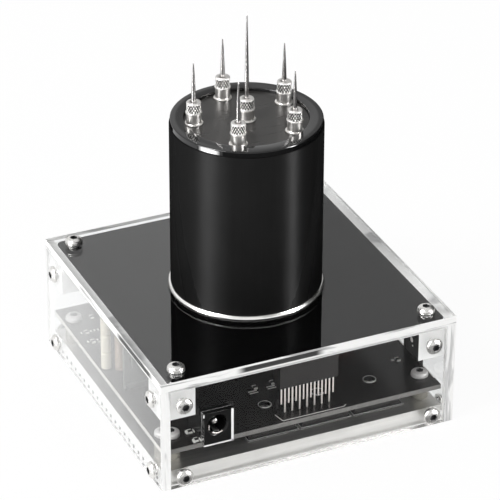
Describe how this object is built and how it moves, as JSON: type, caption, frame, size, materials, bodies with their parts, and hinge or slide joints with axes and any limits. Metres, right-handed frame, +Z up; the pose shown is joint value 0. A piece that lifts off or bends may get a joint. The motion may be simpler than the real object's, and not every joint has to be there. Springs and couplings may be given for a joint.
{
  "type": "desktop resonant transformer",
  "caption": "Small resonant transformer: clear case with circuit board and heat sink, black coil cylinder on top with needle discharge electrodes.",
  "frame": {"origin": "centre of the bounding box on the surface that the case stands on", "axes": "+Z up along the coil, +X to the right along the front, +Y to the back; the power socket is on the front at -Y"},
  "size_m": [0.1032, 0.1002, 0.1327],
  "materials": {
    "clear_acrylic": "clear polished acrylic sheet",
    "black_panel": "gloss black",
    "white_block": "satin white",
    "screw_steel": "polished stainless",
    "sink_aluminium": "brushed natural",
    "cream_nylon": "natural nylon",
    "ceramic": "unglazed ceramic look",
    "board_black": "black solder mask",
    "socket_black": "moulded, satin",
    "chip_black": "moulded resin",
    "tinned_leads": "tinned",
    "pad_white": "silicone pad",
    "copper": "enamelled copper",
    "choke_brown": "ferrite and wire",
    "can_sleeve": "shrink sleeve",
    "film_red": "dipped resin",
    "resistor_white": "ceramic",
    "ring_chrome": "polished",
    "coil_black": "gloss black",
    "dark_plastic": "turned, satin",
    "former_plastic": "plain tube",
    "brass_part": "plain",
    "holder_steel": "polished",
    "knurled_steel": "knurled",
    "needle_steel": "polished"
  },
  "bodies": {
    "case": {"top_plate": "clear_acrylic", "top_panel": "black_panel", "left_plate": "clear_acrylic", "right_plate": "clear_acrylic", "front_plate": "clear_acrylic", "back_plate": "clear_acrylic", "corner_blocks": "white_block", "top_screws": "screw_steel", "front_screws": "screw_steel", "back_screws": "screw_steel", "left_screws": "screw_steel", "right_screws": "screw_steel", "heat_sink": "sink_aluminium", "board_standoffs": "cream_nylon", "board_screws": "screw_steel", "main_board": "board_black", "dc_jack": "socket_black", "jack_contacts": "tinned_leads", "power_chip": "chip_black", "chip_leads": "tinned_leads", "transistors": "chip_black", "transistor_leads": "tinned_leads", "insulating_pads": "pad_white", "transistor_screws": "screw_steel", "receiver_board": "board_black", "driver_module": "board_black", "antenna_wire": "copper", "insulator_beads": "ceramic", "choke": "choke_brown", "filter_capacitors": "can_sleeve", "tank_capacitors": "film_red", "control_chips": "chip_black", "chip_resistors": "resistor_white", "base_ring": "ring_chrome", "coil_base": "dark_plastic", "coil_screws": "screw_steel", "secondary_former": "former_plastic", "secondary_winding": "copper", "secondary_leads": "copper", "primary_former": "dark_plastic", "primary_winding": "copper", "outer_sleeve": "coil_black", "top_cap": "coil_black", "electrode_disc": "coil_black", "contact_plate": "brass_part", "stud_nuts": "brass_part", "electrode_holders": "holder_steel"},
    "centre_nut": {"centre_nut": "knurled_steel"},
    "centre_needle": {"centre_needle": "needle_steel"},
    "left_nut": {"left_nut": "knurled_steel"},
    "left_needle": {"left_needle": "needle_steel"},
    "front_nut": {"front_nut": "knurled_steel"},
    "front_needle": {"front_needle": "needle_steel"},
    "right_nut": {"right_nut": "knurled_steel"},
    "right_needle": {"right_needle": "needle_steel"},
    "back_right_nut": {"back_right_nut": "knurled_steel"},
    "back_right_needle": {"back_right_needle": "needle_steel"},
    "back_left_nut": {"back_left_nut": "knurled_steel"},
    "back_left_needle": {"back_left_needle": "needle_steel"}
  },
  "joints": [
    {"name": "centre_nut_turn", "type": "hinge", "parent": "case", "child": "centre_nut", "pos_m": [-0.0009, -0.0017, 0.1], "axis": [0, 0, 1], "range_deg": [0, 360]},
    {"name": "centre_needle_slide", "type": "slide", "parent": "case", "child": "centre_needle", "axis": [0, 0, 1], "range_m": [0, 0.006]},
    {"name": "left_nut_turn", "type": "hinge", "parent": "case", "child": "left_nut", "pos_m": [-0.01684, 0.00257, 0.1], "axis": [0, 0, 1], "range_deg": [0, 360]},
    {"name": "left_needle_slide", "type": "slide", "parent": "case", "child": "left_needle", "axis": [0, 0, 1], "range_m": [0, 0.006]},
    {"name": "front_nut_turn", "type": "hinge", "parent": "case", "child": "front_nut", "pos_m": [-0.00989, -0.01554, 0.1], "axis": [0, 0, 1], "range_deg": [0, 360]},
    {"name": "front_needle_slide", "type": "slide", "parent": "case", "child": "front_needle", "axis": [0, 0, 1], "range_m": [0, 0.006]},
    {"name": "right_nut_turn", "type": "hinge", "parent": "case", "child": "right_nut", "pos_m": [0.00948, -0.01452, 0.1], "axis": [0, 0, 1], "range_deg": [0, 360]},
    {"name": "right_needle_slide", "type": "slide", "parent": "case", "child": "right_needle", "axis": [0, 0, 1], "range_m": [0, 0.006]},
    {"name": "back_right_nut_turn", "type": "hinge", "parent": "case", "child": "back_right_nut", "pos_m": [0.0145, 0.00421, 0.1], "axis": [0, 0, 1], "range_deg": [0, 360]},
    {"name": "back_right_needle_slide", "type": "slide", "parent": "case", "child": "back_right_needle", "axis": [0, 0, 1], "range_m": [0, 0.006]},
    {"name": "back_left_nut_turn", "type": "hinge", "parent": "case", "child": "back_left_nut", "pos_m": [-0.00176, 0.01478, 0.1], "axis": [0, 0, 1], "range_deg": [0, 360]},
    {"name": "back_left_needle_slide", "type": "slide", "parent": "case", "child": "back_left_needle", "axis": [0, 0, 1], "range_m": [0, 0.006]}
  ]
}
